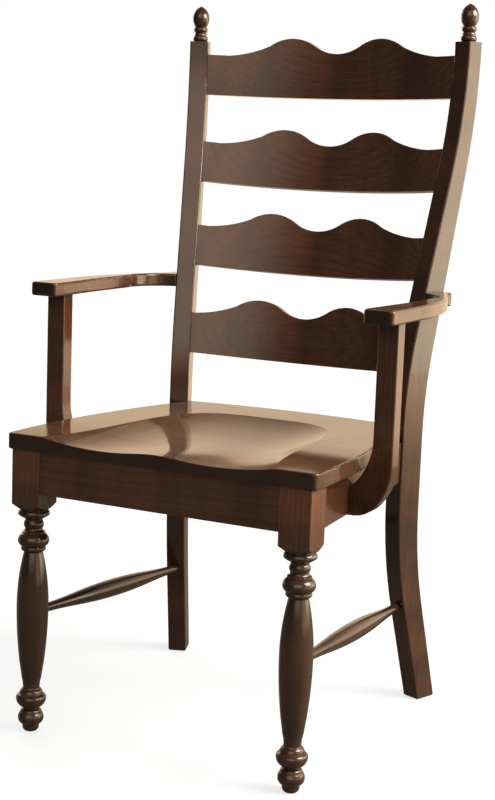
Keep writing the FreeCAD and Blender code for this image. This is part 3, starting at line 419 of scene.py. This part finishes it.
walls = {
    "back": (1.17, 0.88, 0.59), "front": (0.085, 0.075, 0.060),
    "skew": 0.35, "frontEnd": -0.55, "backStart": 0.25,  # where one gives way to the other
    "lowEnd": 0.14, "highStart": 0.55,  # sines of the heights between which the back one darkens
    "highShare": 0.14,
    "sideFrom": -0.1, "sideTo": 0.6, "sideGain": 1.7,  # brighter towards the window
    "lightWay": (0.30, -0.90, 0.32), "lightColour": (2.0, 1.66, 1.30),
    "lightEdge": 0.78, "lightCore": 0.99, "lightRise": 0.22,
}


def mirroredWall(tree, vector):
    way = addNode(tree, "ShaderNodeSeparateXYZ", {"Vector": vector}).outputs
    back = maths(tree, "ADD", way["Y"], maths(tree, "MULTIPLY", way["X"], walls["skew"]))
    behind = spread(tree, back, walls["frontEnd"], walls["backStart"], smooth=True)
    low = spread(tree, way["Z"], walls["lowEnd"], walls["highStart"],
                 1.0, walls["highShare"], smooth=True)
    beside = spread(tree, way["X"], walls["sideFrom"], walls["sideTo"],
                    1.0, walls["sideGain"], smooth=True)
    bright = vectorMaths(tree, "MULTIPLY", walls["back"], beside)
    plain = mixColours(tree, maths(tree, "MULTIPLY", behind, low), opaque(walls["front"]), bright)
    facing = vectorMaths(tree, "DOT_PRODUCT", vector, walls["lightWay"])
    light = spread(tree, facing, walls["lightEdge"], walls["lightCore"], smooth=True)
    risen = spread(tree, way["Z"], 0.0, walls["lightRise"])
    shown = maths(tree, "MULTIPLY", light, risen)
    return mixColours(tree, shown, plain, opaque(walls["lightColour"]))


# Pale floor, clear from underneath. The camera sees it glow, so that it is as white as the
# background, with more glow away from the chair, where the lamps don't reach.

ground = {
    "size": 60.0,
    "colour": (0.26, 0.275, 0.30),
    "mottle": 3.0, "mottleDetail": 3.0, "mottleDark": 0.99,
    "bounce": (0.06, 0.05, 0.04),  # all that it sends up at the chair
    "roughness": 0.6, "specular": 0.2,
    "glow": 0.72, "glowFrom": 0.7, "farGlow": 0.85, "farGlowFrom": 2.6,
    "mirrored": (0.14, 0.11, 0.08),  # near the chair, and further out it mirrors as the walls do
    "mirroredTo": 1.8, "wallsFrom": 3.2,
}
white = (1.0, 1.0, 1.0, 1.0)


def floorMaterial():
    material = bpy.data.materials.new("paleFloor")
    material.use_nodes = True
    tree = material.node_tree
    shader = tree.nodes["Principled BSDF"]
    place = addNode(tree, "ShaderNodeTexCoord").outputs["Object"]
    path = addNode(tree, "ShaderNodeLightPath").outputs
    mottle = noise(tree, place, ground["mottle"], ground["mottleDetail"])
    dark = opaque(part * ground["mottleDark"] for part in ground["colour"])
    mottled = mixColours(tree, mottle, dark, opaque(ground["colour"]))
    base = mixColours(tree, path["Is Camera Ray"], opaque(ground["bounce"]), mottled)
    tree.links.new(base, shader.inputs["Base Color"])

    away = vectorMaths(tree, "LENGTH", place)
    outward = vectorMaths(tree, "NORMALIZE", place)
    far = spread(tree, away, ground["mirroredTo"], ground["wallsFrom"], smooth=True)
    mirrored = mixColours(tree, far, opaque(ground["mirrored"]), mirroredWall(tree, outward))
    tree.links.new(mixColours(tree, path["Is Glossy Ray"], white, mirrored),
                   shader.inputs["Emission Color"])
    glow = spread(tree, away, ground["glowFrom"], ground["farGlowFrom"],
                  ground["glow"], ground["farGlow"])
    glowing = maths(tree, "MULTIPLY", path["Is Camera Ray"], glow)
    tree.links.new(maths(tree, "ADD", glowing, path["Is Glossy Ray"]),
                   shader.inputs["Emission Strength"])
    below = addNode(tree, "ShaderNodeNewGeometry").outputs["Backfacing"]
    tree.links.new(maths(tree, "SUBTRACT", 1.0, below), shader.inputs["Alpha"])
    shader.inputs["Roughness"].default_value = ground["roughness"]
    shader.inputs["Specular IOR Level"].default_value = ground["specular"]
    return material


def makeFloor():
    shape = bmesh.new()
    bmesh.ops.create_grid(shape, x_segments=1, y_segments=1, size=ground["size"] / 2)
    mesh = bpy.data.meshes.new("floor")
    shape.to_mesh(mesh)
    shape.free()
    mesh.materials.append(floorMaterial())
    floor = bpy.data.objects.new("floor", mesh)
    bpy.context.scene.collection.objects.link(floor)


# White background, a plain fill on the chair, and the walls in what it mirrors

fill = (0.56, 0.54, 0.52)


def makeWorld():
    world = bpy.data.worlds.new("studio")
    bpy.context.scene.world = world
    world.use_nodes = True
    tree = world.node_tree
    tree.nodes.clear()
    mirrored = mirroredWall(tree, addNode(tree, "ShaderNodeTexCoord").outputs["Generated"])
    path = addNode(tree, "ShaderNodeLightPath").outputs
    glossy = maths(tree, "MAXIMUM", path["Is Glossy Ray"], path["Is Transmission Ray"])
    lit = mixColours(tree, glossy, opaque(fill), mirrored)
    shown = mixColours(tree, path["Is Camera Ray"], lit, white)
    back = addNode(tree, "ShaderNodeBackground", {"Color": shown, "Strength": 1.0})
    end = addNode(tree, "ShaderNodeOutputWorld")
    tree.links.new(back.outputs["Background"], end.inputs["Surface"])


# Soft lamps, turned to the middle of the chair: azimuth 0 is in front, 90 at the sitter's left

lampAim = Vector((0.0, 0.0, 0.5))
lamps = {
    "windowSoftbox": {"azimuth": 95, "height": 2.1, "distance": 2.3, "size": (1.8, 1.4),
                      "power": 125, "colour": (1.0, 0.93, 0.80)},
    "sideSoftbox": {"azimuth": 120, "height": 1.25, "distance": 2.5, "size": (1.8, 2.2),
                    "power": 34, "colour": (1.0, 0.94, 0.73)},
    "leftSoftbox": {"azimuth": -120, "height": 1.6, "distance": 3.0, "size": (1.4, 1.8),
                    "power": 14, "colour": (1.0, 0.94, 0.88)},
}


def makeLamps():
    for name, lamp in lamps.items():
        light = bpy.data.lights.new(name, "AREA")
        light.shape = "RECTANGLE"
        light.size, light.size_y = lamp["size"]
        light.energy = lamp["power"]
        light.color = lamp["colour"]
        item = bpy.data.objects.new(name, light)
        bpy.context.scene.collection.objects.link(item)
        turn = Matrix.Rotation(radians(lamp["azimuth"]), 3, "Z")
        out = turn @ Vector((0.0, -lamp["distance"], 0.0))
        item.location = (out.x, out.y, lamp["height"])
        item.rotation_mode = "QUATERNION"
        item.rotation_quaternion = (lampAim - item.location).to_track_quat("-Z", "Y")


view = {
    "place": (1.07744, -2.14580, 0.87188),
    "azimuth": 27.04, "elevation": 8.73, "roll": 2.06,
    "lens": 70.69, "sensor": 36.0,
    "shift": (0.01045, -0.00716),
    "clip": (0.05, 100.0),
}


def makeCamera():
    data = bpy.data.cameras.new("camera")
    data.lens = view["lens"]
    data.sensor_width = view["sensor"]
    data.shift_x, data.shift_y = view["shift"]
    data.clip_start, data.clip_end = view["clip"]
    camera = bpy.data.objects.new("camera", data)
    bpy.context.scene.collection.objects.link(camera)
    camera.matrix_world = (Matrix.Translation(view["place"])
                           @ Matrix.Rotation(radians(view["azimuth"]), 4, "Z")
                           @ Matrix.Rotation(radians(90 - view["elevation"]), 4, "X")
                           @ Matrix.Rotation(radians(view["roll"]), 4, "Z"))
    bpy.context.scene.camera = camera


makeFloor()
makeWorld()
makeLamps()
makeCamera()
bpy.context.scene.view_settings.view_transform = "Standard"
print("stage set")
